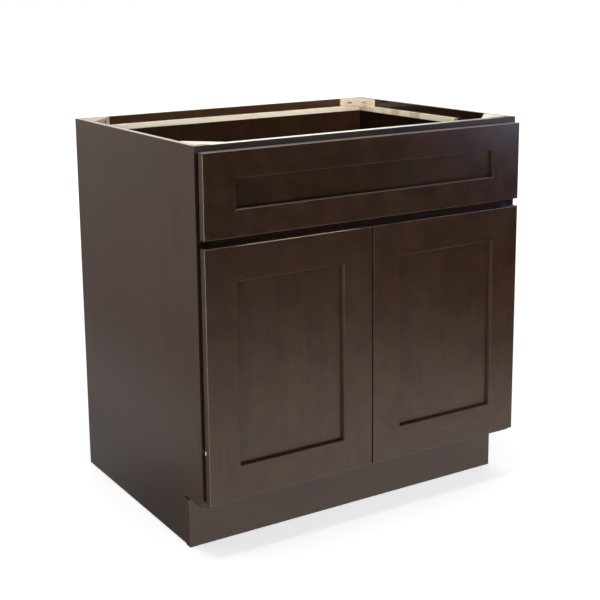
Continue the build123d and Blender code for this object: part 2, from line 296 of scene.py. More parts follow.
class Surface(Bench):
    """A material with a Principled shader, and the bench for its nodes."""

    def __init__(self, name: str, shift: Point = (0, 0, 0)) -> None:
        """Start the material.

        Args:
            name: the material's name.
            shift: how far patterns are moved.
        """
        self.material = bpy.data.materials.new(name)
        self.material.use_nodes = True
        super().__init__(self.material.node_tree, shift)
        self.shader = self.add("ShaderNodeBsdfPrincipled")
        self.add("ShaderNodeOutputMaterial", {"Surface": self.shader.outputs["BSDF"]})

    def finished(self, inputs: dict[str, Any]) -> Material:
        """The material, once the shader has these inputs."""
        self.feed(self.shader, inputs)
        return self.material


class WoodSurface(Surface):
    """The surface of a wooden piece, with patterns that run along its fibre."""

    def __init__(self, piece: Piece, rate: float) -> None:
        """Start the piece's material, with patterns moved by rate times its place."""
        super().__init__(piece.node, tuple(rate * piece.box.centre))
        self.piece = piece

    def lines(self, pitch: float, length: float, detail: float) -> Socket:
        """Noise in lines along the fibre, with their width and length."""
        rates = tuple(1 / (length if axis is self.piece.axis else pitch) for axis in Axis)
        return self.noise(rates, detail)

    def streaks(self) -> Socket:
        """Broad soft streaks along the fibre."""
        return self.lines(self.piece.streak, STREAK_LENGTH, 4.0)

    def fibres(self) -> Socket:
        """Fine fibre lines."""
        return self.lines(*FIBRE_SIZE, 2.0)

    def pores(self) -> Socket:
        """Short open pores: 1 in a pore and 0 between."""
        return self.smooth(self.lines(*PORE_SIZE, 1.0), *PORE_STEP)

    def behind(self) -> Socket:
        """How far the point lies behind the front of the box that is worn."""
        return self.less(self.where(Axis.Y), self.piece.worn.low.y)

    def below(self) -> Socket:
        """How far the point lies below the top of the box that is worn."""
        return self.less(self.piece.worn.high.z, self.where(Axis.Z))


@dataclass(frozen=True)
class Glint:
    """A painted glint: a small pale mark, a little taller than it is wide."""

    place: Point
    radius: float
    squeeze: Point = (1.0, 1.0, 0.6)
    firm: float = 0.7

    def share(self, face: WoodSurface) -> Socket:
        """The glint's share inside the mark."""
        away = face.vector("MULTIPLY", face.vector("SUBTRACT", face.place(), self.place), self.squeeze)
        return face.smooth(face.vector("LENGTH", away), self.radius, self.firm * self.radius)


@dataclass(frozen=True)
class HighlightStretch:
    """A painted gold-toned highlight along a stretch of a front top edge, on both sides of one X."""

    middle: float
    half: float = 170 * MM
    fade: float = 60 * MM
    band: Step = (1.7 * MM, 1.0 * MM)

    def share(self, face: WoodSurface) -> Socket:
        """The highlight close to the edge, fading out at both ends.

        Args:
            face: the piece's surface.

        Returns:
            The highlight's share.
        """
        edge = face.smooth(face.maths("MAXIMUM", face.behind(), face.below()), *self.band)
        away = face.maths("ABSOLUTE", face.less(face.where(Axis.X), self.middle))
        return face.times(edge, face.smooth(away, self.half, self.half - self.fade))


@dataclass(frozen=True)
class Wear:
    """Where a finish is worn, and where highlights and a glint are painted on it: depths are shares from 0
    to 1, and widths are in metres.
    """

    # The rub depth paints worn edges that also carry a painted highlight; the top depth paints a highlight
    # on top faces.
    rub_and_highlight_depth: float = 0.80
    top_highlight: float = 0.0
    # A painted highlight on upward faces below the top, such as the recess ledges.
    ledge_highlight_depth: float = 0.0
    # Painted glints: small pale marks.
    glints: tuple[Glint, ...] = ()
    # A painted gold-toned highlight along a stretch of top edge.
    highlight_stretch: HighlightStretch | None = None
    # The colour of worn edges, lightened further as a painted highlight.
    rub_and_highlight: Colour = (0.3800, 0.3350, 0.3180)
    # The colour of the painted highlight on ledges.
    ledge_highlight: Colour = (0.2400, 0.1700, 0.1200)
    # The colour of the painted gold-toned highlight.
    golden_highlight: Colour = (0.7600, 0.5600, 0.3700)
    # The colour of the painted glints.
    bare: Colour = (0.9000, 0.8700, 0.8200)
    rub_width: float = 1.7 * MM
    rub_rate: float = 38.0
    patch_step: Step = (0.30, 0.60, 0.4, 1.0)
    top_band: float = 4 * MM
    exposed_facing: Step = (-0.6, 0.5, 0.05, 1.0)
    top_facing: Step = (0.70, 0.95)
    ledge_highlight_facing: Step = (0.50, 0.75)

    def show(self, face: WoodSurface, stain: Socket) -> Socket:
        """Paint highlights on ledges and top faces, lighten worn edges further as a painted highlight, and
        paint a stretch of highlight and glints.

        Args:
            face: the piece's surface.
            stain: the colour of the whole stain.

        Returns:
            The colour, worn and with painted highlights.
        """
        # Painted highlight on the ledges.
        if self.ledge_highlight_depth:
            stain = face.mix(self.on_ledges(face), stain, self.ledge_highlight)
        stain = face.mix(self.on_edges(face), stain, self.rub_and_highlight)
        # A painted gold-toned highlight along a stretch of top edge.
        if self.highlight_stretch:
            stain = face.mix(self.highlight_stretch.share(face), stain, self.golden_highlight)
        # Painted glints.
        for glint in self.glints:
            stain = face.mix(glint.share(face), stain, self.bare)
        return stain

    def on_ledges(self, face: WoodSurface) -> Socket:
        """A painted highlight where a face looks up, below the box's own top."""
        upward = face.smooth(face.looks(Axis.Z), *self.ledge_highlight_facing, 0.0, self.ledge_highlight_depth)
        return face.times(upward, face.smooth(face.below(), self.top_band, 2 * self.top_band))

    def on_edges(self, face: WoodSurface) -> Socket:
        """How far the lacquer is worn through, with a painted highlight on the worn edges, most on the
        box's front edges and patchy along them; and a painted highlight on top faces near the top.

        The distance to the nearest edge is the middle one of the three distances to the box's faces.

        Args:
            face: the piece's surface.

        Returns:
            The share of worn edge and painted highlight.
        """
        box = face.piece.worn
        away = face.vector("ABSOLUTE", face.vector("SUBTRACT", face.place(), tuple(box.centre)))
        first, second, third = face.parts(face.vector("SUBTRACT", tuple(box.half), away))
        lesser = face.maths("MINIMUM", first, second)
        greater = face.maths("MAXIMUM", first, second)
        middle = face.maths("MAXIMUM", lesser, face.maths("MINIMUM", greater, third))
        near = face.smooth(middle, self.rub_width, 0.0, 0.0, self.rub_and_highlight_depth)
        front = face.smooth(face.behind(), 2 * self.rub_width, self.rub_width)
        patchy = face.smooth(face.noise(self.rub_rate), *self.patch_step)
        exposed = face.smooth(face.looks(Axis.Z), *self.exposed_facing)
        top = face.smooth(face.below(), self.top_band, self.top_band / 2)
        # Painted highlight on top faces near the box's top.
        upward = face.smooth(face.looks(Axis.Z), *self.top_facing, 0.0, self.top_highlight)
        return face.maths("MAXIMUM", face.times(near, front, patchy, exposed), face.times(top, upward))


@dataclass(frozen=True)
class Lacquer:
    """Satin lacquer: uneven sheen, faint fibre under it and a little orange peel."""

    gloss: float = 0.278
    matt: float = 0.308
    edge_matt: float = 0.0
    ior: float = 1.52
    sheen_rate: float = 9.0
    side_facing: Step = (0.75, 0.95)
    peel: float = 3.2 * MM
    peel_share: float = 0.35
    fibre_height: float = 0.006 * MM
    relief: float = 0.6

    def coat(self, face: WoodSurface) -> dict[str, Any]:
        """Lacquer a surface.

        Args:
            face: the piece's surface.

        Returns:
            The shader's inputs.
        """
        sheen = face.smooth(face.noise(self.sheen_rate), *SHEEN_STEP, self.gloss, self.matt)
        if self.edge_matt:
            sideways = face.maths("ABSOLUTE", face.looks(Axis.X))
            sheen = face.blend(face.smooth(sideways, *self.side_facing), sheen, self.edge_matt)
        peel = face.times(face.noise(1 / self.peel, 1.0), self.peel_share)
        height = face.maths("ADD", peel, face.fibres())
        relief = face.bump(height, self.fibre_height, self.relief)
        return {"Roughness": sheen, "Normal": relief, "IOR": self.ior}


@dataclass(frozen=True)
class ShadeAndSheen:
    """Painted shade and sheen on a frame: front faces darker than the stain, and a painted pale sheen above
    a level, fading to the right.
    """

    level: float
    # The colour of the painted pale sheen.
    colour: Colour = (0.0820, 0.0560, 0.0460)
    # How much of the stain stays on front faces: painted shade.
    front_shade: float = 0.45
    front_facing: Step = (-0.5, -0.9)
    soft: float = 3 * MM
    fade: Step = (-0.15, 0.10, 1.0, 0.22)

    def lay(self, face: WoodSurface, stain: Socket) -> Socket:
        """Paint the shade and sheen over a stain.

        Args:
            face: the piece's surface.
            stain: the stain's colour.

        Returns:
            The coated colour.
        """
        forward = face.smooth(face.looks(Axis.Y), *self.front_facing)
        # Painted shade on the front faces.
        stain = face.mix(forward, stain, face.shade(stain, self.front_shade))
        above = face.smooth(face.where(Axis.Z), self.level - self.soft, self.level + self.soft)
        faded = face.smooth(face.where(Axis.X), *self.fade)
        # Painted sheen above the level, fading to the right.
        return face.mix(face.times(above, faded, forward), stain, self.colour)


@dataclass(frozen=True)
class StainedWood:
    """Dark stain under satin lacquer, on solid wood or veneer."""

    deep: Colour = (0.0350, 0.0152, 0.0088)
    pale: Colour = (0.0420, 0.0192, 0.0112)
    olive: Colour = (0.0415, 0.0238, 0.0094)
    pore: Colour = (0.0150, 0.0065, 0.0040)
    olive_share: float = 0.55
    pore_share: float = 0.5
    blotch: float = 120 * MM
    cloud_size: float = 48 * MM
    cloud_depth: float = 0.0
    streak_step: Step = (0.30, 0.72)
    olive_step: Step = (0.42, 0.70)
    cloud_step: Step = (0.32, 0.68)
    fibre_step: Step = (0.30, 0.70, 0.90, 1.09)
    wear: Wear = Wear()
    lacquer: Lacquer = Lacquer()
    # Painted shade and sheen laid over the stain, if any.
    thin: ShadeAndSheen | None = None

    def colour(self, face: WoodSurface) -> Socket:
        """Stain that is deeper in streaks, uneven in blotches and clouds, dark in the pores, and worn, with
        painted shade, sheen and highlights where these are given.

        Args:
            face: the piece's surface.

        Returns:
            The colour.
        """
        stain = face.mix(face.smooth(face.streaks(), *self.streak_step), self.deep, self.pale)
        blotches = face.smooth(face.noise(1 / self.blotch, 2.0), *self.olive_step, 0.0, self.olive_share)
        stain = face.mix(blotches, stain, self.olive)
        if self.cloud_depth:
            limits = (1 - self.cloud_depth, 1 + self.cloud_depth)
            clouds = face.smooth(face.noise(1 / self.cloud_size), *self.cloud_step, *limits)
            stain = face.shade(stain, clouds)
        stain = face.shade(stain, face.smooth(face.fibres(), *self.fibre_step))
        stain = face.mix(face.times(face.pores(), self.pore_share), stain, self.pore)
        if self.thin:
            stain = self.thin.lay(face, stain)
        return self.wear.show(face, stain)

    def material(self, piece: Piece) -> Material:
        """The finished surface of one piece."""
        face = WoodSurface(piece, STAIN_SHIFT)
        return face.finished({"Base Color": self.colour(face), **self.lacquer.coat(face)})


@dataclass(frozen=True)
class NaturalWood:
    """Pale unfinished wood, with the odd joint between glued lengths."""

    pale: Colour = (0.840, 0.760, 0.620)
    dark: Colour = (0.650, 0.500, 0.350)
    yellow: Colour = (0.780, 0.660, 0.400)
    brown: Colour = (0.560, 0.420, 0.300)
    end_grain: Colour = (0.260, 0.205, 0.105)
    length: float = 0.0
    rough: float = 0.62
    saw_height: float = 0.10 * MM
    saw_relief: float = 0.5
    streak_step: Step = (0.36, 0.80, 0.0, 0.55)
    fibre_step: Step = (0.52, 0.80, 0.0, 0.35)
    brown_step: Step = (0.45, 0.95, 0.0, 0.9)
    yellow_step: Step = (0.35, 0.0, 0.0, 0.8)
    end_facing: Step = (0.80, 0.92, 0.0, 0.9)
    wander: float = 2.4
    wander_rates: Point = (0.0, 14.0, 0.0)

    def colour(self, face: WoodSurface) -> Socket:
        """Pale wood with streaks, fibres, lengths that differ in tone and dark end grain.

        Args:
            face: the piece's surface.

        Returns:
            The colour.
        """
        wood = face.mix(face.smooth(face.streaks(), *self.streak_step), self.pale, self.dark)
        wood = face.mix(face.smooth(face.fibres(), *self.fibre_step), wood, self.dark)
        if self.length:
            along = face.maths("DIVIDE", face.where(face.piece.axis), self.length)
            wander = face.times(face.noise(self.wander_rates, 0.0, still=True), self.wander)
            count = face.maths("FLOOR", face.maths("ADD", along, wander))
            tone = face.add("ShaderNodeTexWhiteNoise", {"W": count}, noise_dimensions="1D").outputs["Value"]
            wood = face.mix(face.smooth(tone, *self.brown_step), wood, self.brown)
            wood = face.mix(face.smooth(tone, *self.yellow_step), wood, self.yellow)
        ends = face.maths("ABSOLUTE", face.looks(face.piece.axis))
        return face.mix(face.smooth(ends, *self.end_facing), wood, self.end_grain)

    def material(self, piece: Piece) -> Material:
        """The sanded surface of one piece.

        Args:
            piece: the piece.

        Returns:
            The material.
        """
        face = WoodSurface(piece, WOOD_SHIFT)
        relief = face.bump(face.fibres(), self.saw_height, self.saw_relief)
        return face.finished({"Base Color": self.colour(face), "Normal": relief, "Roughness": self.rough})


@dataclass(frozen=True)
class EdgedPanel:
    """Stained faces and raw top edges: plies on a plywood panel, plain fibre on solid wood."""

    stain: StainedWood
    wood: NaturalWood
    plies: int = 0
    ply_axis: Axis = Axis.X
    # How far the raw edge takes patches of the stain's pale colour, more towards the right end.
    stain_to_right: float = 0.0
    inward: Point | None = None
    # How dark the stain is left on inside faces: painted shade inside the case.
    inner_shade: float = 1.0
    inner_gloss: float = 0.13
    glue: Colour = (0.640, 0.520, 0.390)
    cross: Colour = (0.850, 0.790, 0.680)
    cross_step: Step = (0.42, 0.58, 0.0, 0.6)
    seam_step: Step = (0.10, 0.0, 0.0, 0.6)
    spot_rates: Point = (14.0, 60.0, 60.0)
    spot_step: Step = (0.2, 0.6, 0.6, 1.0)
    spot_reach: Step = (-0.05, 0.42)
    edge_facing: Step = (0.72, 0.88)
    inner_facing: Step = (0.5, 0.9)

    def raw(self, face: WoodSurface) -> Socket:
        """Raw wood on the edge: plies in turn with a dark glue line between, and patches of the stain's
        pale colour that grow towards the right end.

        Args:
            face: the panel's surface.

        Returns:
            The colour of the raw edge.
        """
        wood = self.wood.colour(face)
        if self.plies:
            axis = self.ply_axis.value
            depth = face.less(face.where(self.ply_axis), face.piece.box.low[axis])
            layer = face.times(depth, self.plies / (2 * face.piece.box.half[axis]))
            odd = face.maths("PINGPONG", face.maths("ADD", layer, -0.5), 1.0)
            wood = face.mix(face.smooth(odd, *self.cross_step), wood, self.cross)
            seam = face.maths("PINGPONG", layer, 0.5)
            wood = face.mix(face.smooth(seam, *self.seam_step), wood, self.glue)
        # Patches of the stain's pale colour, growing towards the right end.
        if self.stain_to_right:
            spots = face.smooth(face.noise(self.spot_rates, 4.0), *self.spot_step)
            reach = face.smooth(face.where(Axis.X), *self.spot_reach, 0.0, self.stain_to_right)
            wood = face.mix(face.times(reach, spots), wood, self.stain.pale)
        return wood

    def material(self, piece: Piece) -> Material:
        """The whole panel: stain where it faces sideways or down, raw wood where it faces up, and inside
        faces darkened by a share as painted shade.

        Args:
            piece: the panel.

        Returns:
            The material.
        """
        face = WoodSurface(piece, STAIN_SHIFT)
        stain = self.stain.colour(face)
        coat = self.stain.lacquer.coat(face)
        sheen = coat["Roughness"]
        if self.inward:
            towards = face.vector("DOT_PRODUCT", face.facing(), self.inward)
            within = face.smooth(towards, *self.inner_facing)
            # Painted shade on the faces that look into the case.
            stain = face.mix(within, stain, face.shade(stain, self.inner_shade))
            sheen = face.blend(within, sheen, self.inner_gloss)
        edge = face.smooth(face.looks(Axis.Z), *self.edge_facing)
        colour = face.mix(edge, stain, self.raw(face))
        rough = face.blend(edge, sheen, self.wood.rough)
        return face.finished({**coat, "Base Color": colour, "Roughness": rough})


@dataclass(frozen=True)
class PlatedSteel:
    """Pressed steel under bright plating, with faint drawing lines."""

    base: Colour = (0.72, 0.70, 0.66)
    dull: Colour = (0.52, 0.50, 0.47)
    gloss: float = 0.16
    matt: float = 0.26
    cloud_rate: float = 160.0
    dull_step: Step = (0.35, 0.75)
    line_rates: Point = (2400.0, 2400.0, 90.0)
    line_height: float = 0.01 * MM
    line_relief: float = 0.4

    def material(self, name: str) -> Material:
        """The plated surface.

        Args:
            name: the material's name.

        Returns:
            The material.
        """
        face = Surface(name)
        cloud = face.noise(self.cloud_rate, 4.0)
        plating = face.mix(face.smooth(cloud, *self.dull_step), self.base, self.dull)
        sheen = face.smooth(cloud, *SHEEN_STEP, self.gloss, self.matt)
        relief = face.bump(face.noise(self.line_rates, 1.0), self.line_height, self.line_relief)
        return face.finished({"Base Color": plating, "Roughness": sheen, "Normal": relief, "Metallic": 1.0})


@dataclass(frozen=True)
class CloudyPlastic:
    """Soft cloudy plastic of the bumpers."""

    clear: Colour = (0.86, 0.86, 0.83)
    cloudy: Colour = (0.68, 0.68, 0.64)
    gloss: float = 0.30
    matt: float = 0.45
    clearness: float = 0.35
    ior: float = 1.46
    cloud_rate: float = 420.0

    def material(self, name: str) -> Material:
        """The bumper's surface.

        Args:
            name: the material's name.

        Returns:
            The material.
        """
        face = Surface(name)
        cloud = face.noise(self.cloud_rate)
        plastic = face.mix(cloud, self.clear, self.cloudy)
        sheen = face.smooth(cloud, *SHEEN_STEP, self.gloss, self.matt)
        clearness = {"Transmission Weight": self.clearness, "IOR": self.ior}
        return face.finished({"Base Color": plastic, "Roughness": sheen, **clearness})


def dress(node: str, material: Material, ease: float = 0.0) -> None:
    """Give a CAD node its material, and ease its sharp edges.

    Args:
        node: the node's name.
        material: what it is finished with.
        ease: how wide its sharp edges are eased, in metres.
    """
    piece = bpy.data.objects[node]
    for slot in piece.material_slots:
        slot.material = material
    if ease:
        weld = piece.modifiers.new("weld", "WELD")
        weld.merge_threshold = WELD_GAP
        bevel = piece.modifiers.new("eased_edges", "BEVEL")
        bevel.width = ease
        bevel.segments = EASE_STEPS
        bevel.limit_method = "ANGLE"
        bevel.angle_limit = EASE_ANGLE
    LOG.info("%s is finished as %s", node, material.name)


# Slightly worn edges with a faint painted highlight on them.
LIGHT_RUB_AND_HIGHLIGHT = Wear(rub_and_highlight_depth=0.15)
MATT_SIDES = Lacquer(edge_matt=0.62)


@dataclass(frozen=True)
class Front:
    """A frame-and-panel front: two stiles, two rails and a flat panel."""

    prefix: str
    stiles: tuple[str, str]
    stain: StainedWood
    partner: str = ""
    panel_olive: float = 0.55
    panel_streak: float = 26 * MM

    def dress(self) -> None:
        """Stain each piece along its own fibre: upright in stiles, level in rails."""
        upright = [f"{self.prefix}_{stile}_stile" for stile in self.stiles]
        level = [f"{self.prefix}_top_rail", f"{self.prefix}_bottom_rail"]
        beside = [f"{self.partner}_top_rail", f"{self.partner}_hinge_stile"] if self.partner else []
        whole = Box.around(upright + level + beside)
        for nodes, axis in ((upright, Axis.Z), (level, Axis.X)):
            for node in nodes:
                Piece(node, axis, whole=whole).dress(self.stain)
        panel = f"{self.prefix}_panel"
        half = Box.of(panel).half
        longer = Axis.X if half.x > half.z else Axis.Z
        stain = replace(self.stain, olive_share=self.panel_olive)
        Piece(panel, longer, self.panel_streak, whole).dress(stain)


@dataclass(frozen=True)
class Fronts:
    """The false front and the pair of doors, each with its own worn edges and painted highlights."""

    door_stiles: tuple[str, str] = ("hinge", "meeting")
    false_front_stain: StainedWood = StainedWood(
        cloud_depth=0.22, wear=Wear(top_highlight=0.42, ledge_highlight_depth=0.8), lacquer=MATT_SIDES
    )
    door_stain: StainedWood = StainedWood(cloud_depth=0.15, lacquer=MATT_SIDES)
    # How strongly painted highlights lie on the doors' top faces.
    left_top_highlight: float = 0.2
    right_top_highlight: float = 0.12
    # Where the painted glint sits behind the door's front, and its size.
    glint_inset: float = 2.125 * MM
    glint_radius: float = 3.2 * MM
    # Where the painted highlight stretch is centred, from the door's left edge.
    highlight_inset: float = 222.75 * MM

    def dress(self) -> None:
        """Stain the three fronts. The doors are worn, and their highlights painted, as one pair."""
        left = replace(self.door_stain, wear=self.left_wear_and_highlights())
        right = replace(self.door_stain, wear=Wear(top_highlight=self.right_top_highlight))
        Front("false_front", ("left", "right"), self.false_front_stain, panel_olive=1.0).dress()
        Front("left_door", self.door_stiles, left, "right_door").dress()
        Front("right_door", self.door_stiles, right, "left_door").dress()

    def left_wear_and_highlights(self) -> Wear:
        """The left door's own marks: a painted glint beside its lower hinge and a painted gold-toned
        highlight along a stretch of top edge.

        Returns:
            The left door's worn edges, painted highlights and painted glint.
        """
        stile = Box.of("left_door_hinge_stile")
        level = Box.of("left_lower_hinge_cup").centre.z
        glint = Glint((stile.low.x, stile.high.y - self.glint_inset, level), self.glint_radius)
        highlight_stretch = HighlightStretch(stile.low.x + self.highlight_inset)
        return Wear(top_highlight=self.left_top_highlight, glints=(glint,), highlight_stretch=highlight_stretch)


@dataclass(frozen=True)
class FaceFrame:
    """The frame that the fronts close on, raw on its top edge."""

    stain: StainedWood = StainedWood(wear=LIGHT_RUB_AND_HIGHLIGHT, lacquer=Lacquer(0.32, 0.40))
    # A lighter stain on the mid and bottom rails: painted light in the shaded gaps between the fronts.
    lifted_rail_stain: StainedWood = StainedWood(
        (0.0580, 0.0260, 0.0130),
        (0.0660, 0.0310, 0.0155),
        wear=LIGHT_RUB_AND_HIGHLIGHT,
        lacquer=Lacquer(0.48, 0.55, ior=1.25),
    )
    wood: NaturalWood = NaturalWood((0.870, 0.830, 0.760), (0.740, 0.660, 0.560))
    # Patches of stain on the raw top edge, more towards the right.
    stain_to_right: float = 0.9
    # How far the painted sheen reaches below the false front's top.
    thin_overlap: float = 2.2 * MM
    ease: float = 0.6 * MM

    def dress(self) -> None:
        """Stain the frame, with painted shade on the fronts of the stiles and top rail, a painted sheen
        above the false front, and a lighter stain on the lower rails as painted light; leave the wood raw
        along the top.
        """
        level = Box.of("false_front_top_rail").high.z - self.thin_overlap
        thin = replace(self.stain, thin=ShadeAndSheen(level))
        topped = EdgedPanel(thin, self.wood, stain_to_right=self.stain_to_right)
        whole = Box.around(["left_frame_stile", "right_frame_stile"])
        for node, axis, finish in (
            ("left_frame_stile", Axis.Z, topped),
            ("right_frame_stile", Axis.Z, topped),
            ("frame_top_rail", Axis.X, topped),
            ("frame_mid_rail", Axis.X, self.lifted_rail_stain),
            ("frame_bottom_rail", Axis.X, self.lifted_rail_stain),
        ):
            Piece(node, axis, whole=whole).dress(finish, self.ease)


@dataclass(frozen=True)
class Case:
    """The plywood case with its cleats and corner blocks."""

    stain: StainedWood = StainedWood(wear=LIGHT_RUB_AND_HIGHLIGHT)
    board_stain: StainedWood = StainedWood(wear=LIGHT_RUB_AND_HIGHLIGHT, lacquer=Lacquer(edge_matt=0.60))
    wood: NaturalWood = NaturalWood()
    # A tan tone for the back blocks: partly their own tone, partly painted shade for the stronger light
    # they catch.
    tan_and_shaded_wood: NaturalWood = NaturalWood((0.600, 0.490, 0.385), (0.490, 0.370, 0.270))
    edge_wood: NaturalWood = NaturalWood((0.910, 0.880, 0.815), (0.820, 0.740, 0.630), rough=0.38)
    plies: int = 7
    # Painted shade on the side panels' inside faces.
    side_inner_shade: float = 0.4
    ease: float = 0.4 * MM
    veneer_streak: float = 34 * MM
    joint_length: float = 25 * MM

    def dress(self) -> None:
        """Stain the panels, show their plies on the raw edges, and leave cleats and blocks bare."""
        panel = EdgedPanel(self.stain, self.edge_wood, self.plies)
        for node, ply_axis, inward, share in (
            ("left_side_panel", Axis.X, (1.0, 0.0, 0.0), self.side_inner_shade),
            ("right_side_panel", Axis.X, (-1.0, 0.0, 0.0), self.side_inner_shade),
            ("back_panel", Axis.Y, (0.0, -1.0, 0.0), 1.0),
        ):
            finish = replace(panel, ply_axis=ply_axis, inward=inward, inner_shade=share)
            Piece(node, Axis.Z, self.veneer_streak).dress(finish, self.ease)
        for node in ("floor_panel", "toe_kick_board"):
            Piece(node, Axis.X, self.veneer_streak).dress(self.board_stain, self.ease)
        jointed = replace(self.wood, length=self.joint_length)
        for node, axis, wood in (
            ("left_cleat", Axis.Y, jointed),
            ("right_cleat", Axis.Y, jointed),
            ("back_cleat", Axis.X, self.wood),
            ("front_left_corner_block", Axis.X, self.wood),
            ("front_right_corner_block", Axis.X, self.wood),
            ("back_left_corner_block", Axis.X, self.tan_and_shaded_wood),
            ("back_right_corner_block", Axis.X, self.tan_and_shaded_wood),
        ):
            Piece(node, axis).dress(wood, self.ease)


@dataclass(frozen=True)
class Seat:
    """Where a screw head or a bumper bears, the way that it faces and the body that it rides on."""

    place: Point
    facing: Point
    body: str = "case"


def surface_mesh(name: str, grid: np.ndarray, body: str, material: Material) -> bpy.types.Object:
    """A piece from grids of points, closed round each grid's second direction and shut at both ends.

    Args:
        name: the piece's name.
        grid: points as copies, rows, columns and X, Y, Z, where the first and last rows are poles.
        body: the body that it rides on.
        material: its finish.

    Returns:
        The new piece.
    """
    copies, rows, columns, _ = grid.shape
    row, column = np.meshgrid(np.arange(rows - 1), np.arange(columns), indexing="ij")
    here, below = row * columns, (row + 1) * columns
    after = (column + 1) % columns
    quads = np.stack([here + column, here + after, below + after, below + column], -1).reshape(-1, 4)
    quads = (quads[None] + (np.arange(copies) * rows * columns)[:, None, None]).reshape(-1, 4)
    mesh = bpy.data.meshes.new(name)
    mesh.from_pydata(grid.reshape(-1, 3).tolist(), [], quads.tolist())
    mesh.materials.append(material)
    mesh.polygons.foreach_set("use_smooth", np.ones(len(quads), bool))
    mesh.update()
    piece = bpy.data.objects.new(name, mesh)
    bpy.context.scene.collection.objects.link(piece)
    weld = piece.modifiers.new("shut_poles", "WELD")
    weld.merge_threshold = WELD_GAP
    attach(piece, body)
    return piece


def turned(profile: np.ndarray, seats: Sequence[Seat], columns: int) -> np.ndarray:
    """A profile of (radius, height) turned about each seat's own axis.

    Each point is the seat's place, plus the radius times the turning direction, plus the height times
    the way that the seat faces.

    Args:
        profile: radius and height along the outline, in metres, from one pole to the other.
        seats: where each copy stands.
        columns: steps round the axis.

    Returns:
        Points as copies, rows, columns and X, Y, Z.
    """
    places = np.array([seat.place for seat in seats])
    facing = np.array([seat.facing for seat in seats], float)
    aside = np.roll(facing, 1, axis=1)
    across = np.cross(facing, aside)
    angle = np.linspace(0, 2 * math.pi, columns, endpoint=False)[None, :, None]
    spoke = aside[:, None] * np.cos(angle) + across[:, None] * np.sin(angle)
    radius, height = profile.T[:, None, :, None, None]
    return places[:, None, None] + radius * spoke[:, None] + height * facing[:, None, None]


@dataclass(frozen=True)
class Screws:
    """Pan-head screws with a cross recess, one set for each CAD group."""

    head_radius: float = 3.3 * MM
    head_height: float = 1.4 * MM
    dome_power: float = 0.6
    shank_radius: float = 1.5 * MM
    recess_reach: float = 1.9 * MM
    recess_width: float = 0.55 * MM
    recess_depth: float = 1.0 * MM
    rows: int = 26
    columns: int = 48

    def profile(self, length: float) -> np.ndarray:
        """Dome, rim, flat underside, shank and point, from the crown to the point.

        Args:
            length: how far the shank reaches below the head.

        Returns:
            Radius and height along the outline.
        """
        turn = np.linspace(0, 0.5 * math.pi, self.rows)
        height = self.head_height * np.cos(turn) ** self.dome_power
        dome = np.stack([self.head_radius * np.sin(turn), height], -1)
        shank_end = -length + 2 * self.shank_radius
        tail = [(self.shank_radius, 0.0), (self.shank_radius, shank_end), (0.0, -length)]
        return np.concatenate([dome, tail])

    def arm(self, along: np.ndarray, aside: np.ndarray) -> np.ndarray:
        """One arm of the recess: 1 along its middle, falling to 0 at its width and at its reach."""
        across = np.clip(1 - np.abs(aside) / self.recess_width, 0, 1)
        return np.sqrt(across) * np.clip((self.recess_reach - np.abs(along)) / self.recess_width, 0, 1)

    def build(self, node: str, seats: Sequence[Seat], length: float, steel: Material) -> None:
        """Make one set of screws in place of its CAD node.

        The recess lowers a point of the dome by the greater of two ridges, one along each arm: full depth
        along the arm's middle, nothing past its width or its reach.

        Args:
            node: the CAD node that the set stands for.
            seats: where the heads bear.
            length: how far the shanks reach below the heads.
            steel: the finish.
        """
        profile = self.profile(length)
        grid = turned(profile, seats, self.columns)
        angle = np.linspace(0, 2 * math.pi, self.columns, endpoint=False)
        along = profile[: self.rows, 0, None] * np.cos(angle)
        aside = profile[: self.rows, 0, None] * np.sin(angle)
        depth = self.recess_depth * np.maximum(self.arm(along, aside), self.arm(aside, along))
        facing = np.array([seat.facing for seat in seats], float)
        grid[:, : self.rows] -= depth[None, :, :, None] * facing[:, None, None]
        piece = surface_mesh(f"{node}_turned", grid, seats[0].body, steel)
        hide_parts(node)
        LOG.info("%s stands for %s, with %d screws", piece.name, node, len(seats))


@dataclass(frozen=True)
class Bumpers:
    """Domed bumpers on the backs of the fronts."""

    radius: float = 4.0 * MM
    dome_power: float = 4.0
    rows: int = 14
    columns: int = 40

    def build(self, node: str, body: str, plastic: Material) -> None:
        """Make one set of bumpers in place of its CAD node, in the corners of the node's box.

        The outline is a flat foot and a dome whose height falls as the fourth root of one less the fourth
        power of the radius.

        Args:
            node: the CAD node that the set stands for.
            body: the body that the set rides on.
            plastic: the finish.
        """
        box = Box.of(node)
        share = np.linspace(0, 1, self.rows)
        fall = (1 - share**self.dome_power) ** (1 / self.dome_power)
        dome = np.stack([self.radius * share, 2 * box.half.y * fall], -1)
        profile = np.concatenate([dome, [(0.0, 0.0)]])
        reach_x, reach_z = box.half.x - self.radius, box.half.z - self.radius
        columns = (-reach_x, reach_x) if reach_x > self.radius else (0.0,)
        levels = (-reach_z, reach_z)
        places = [(box.centre.x + x, box.low.y, box.centre.z + z) for x in columns for z in levels]
        grid = turned(profile, [Seat(place, (0.0, 1.0, 0.0)) for place in places], self.columns)
        piece = surface_mesh(f"{node}_domed", grid, body, plastic)
        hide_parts(node)
        LOG.info("%s stands for %s", piece.name, node)


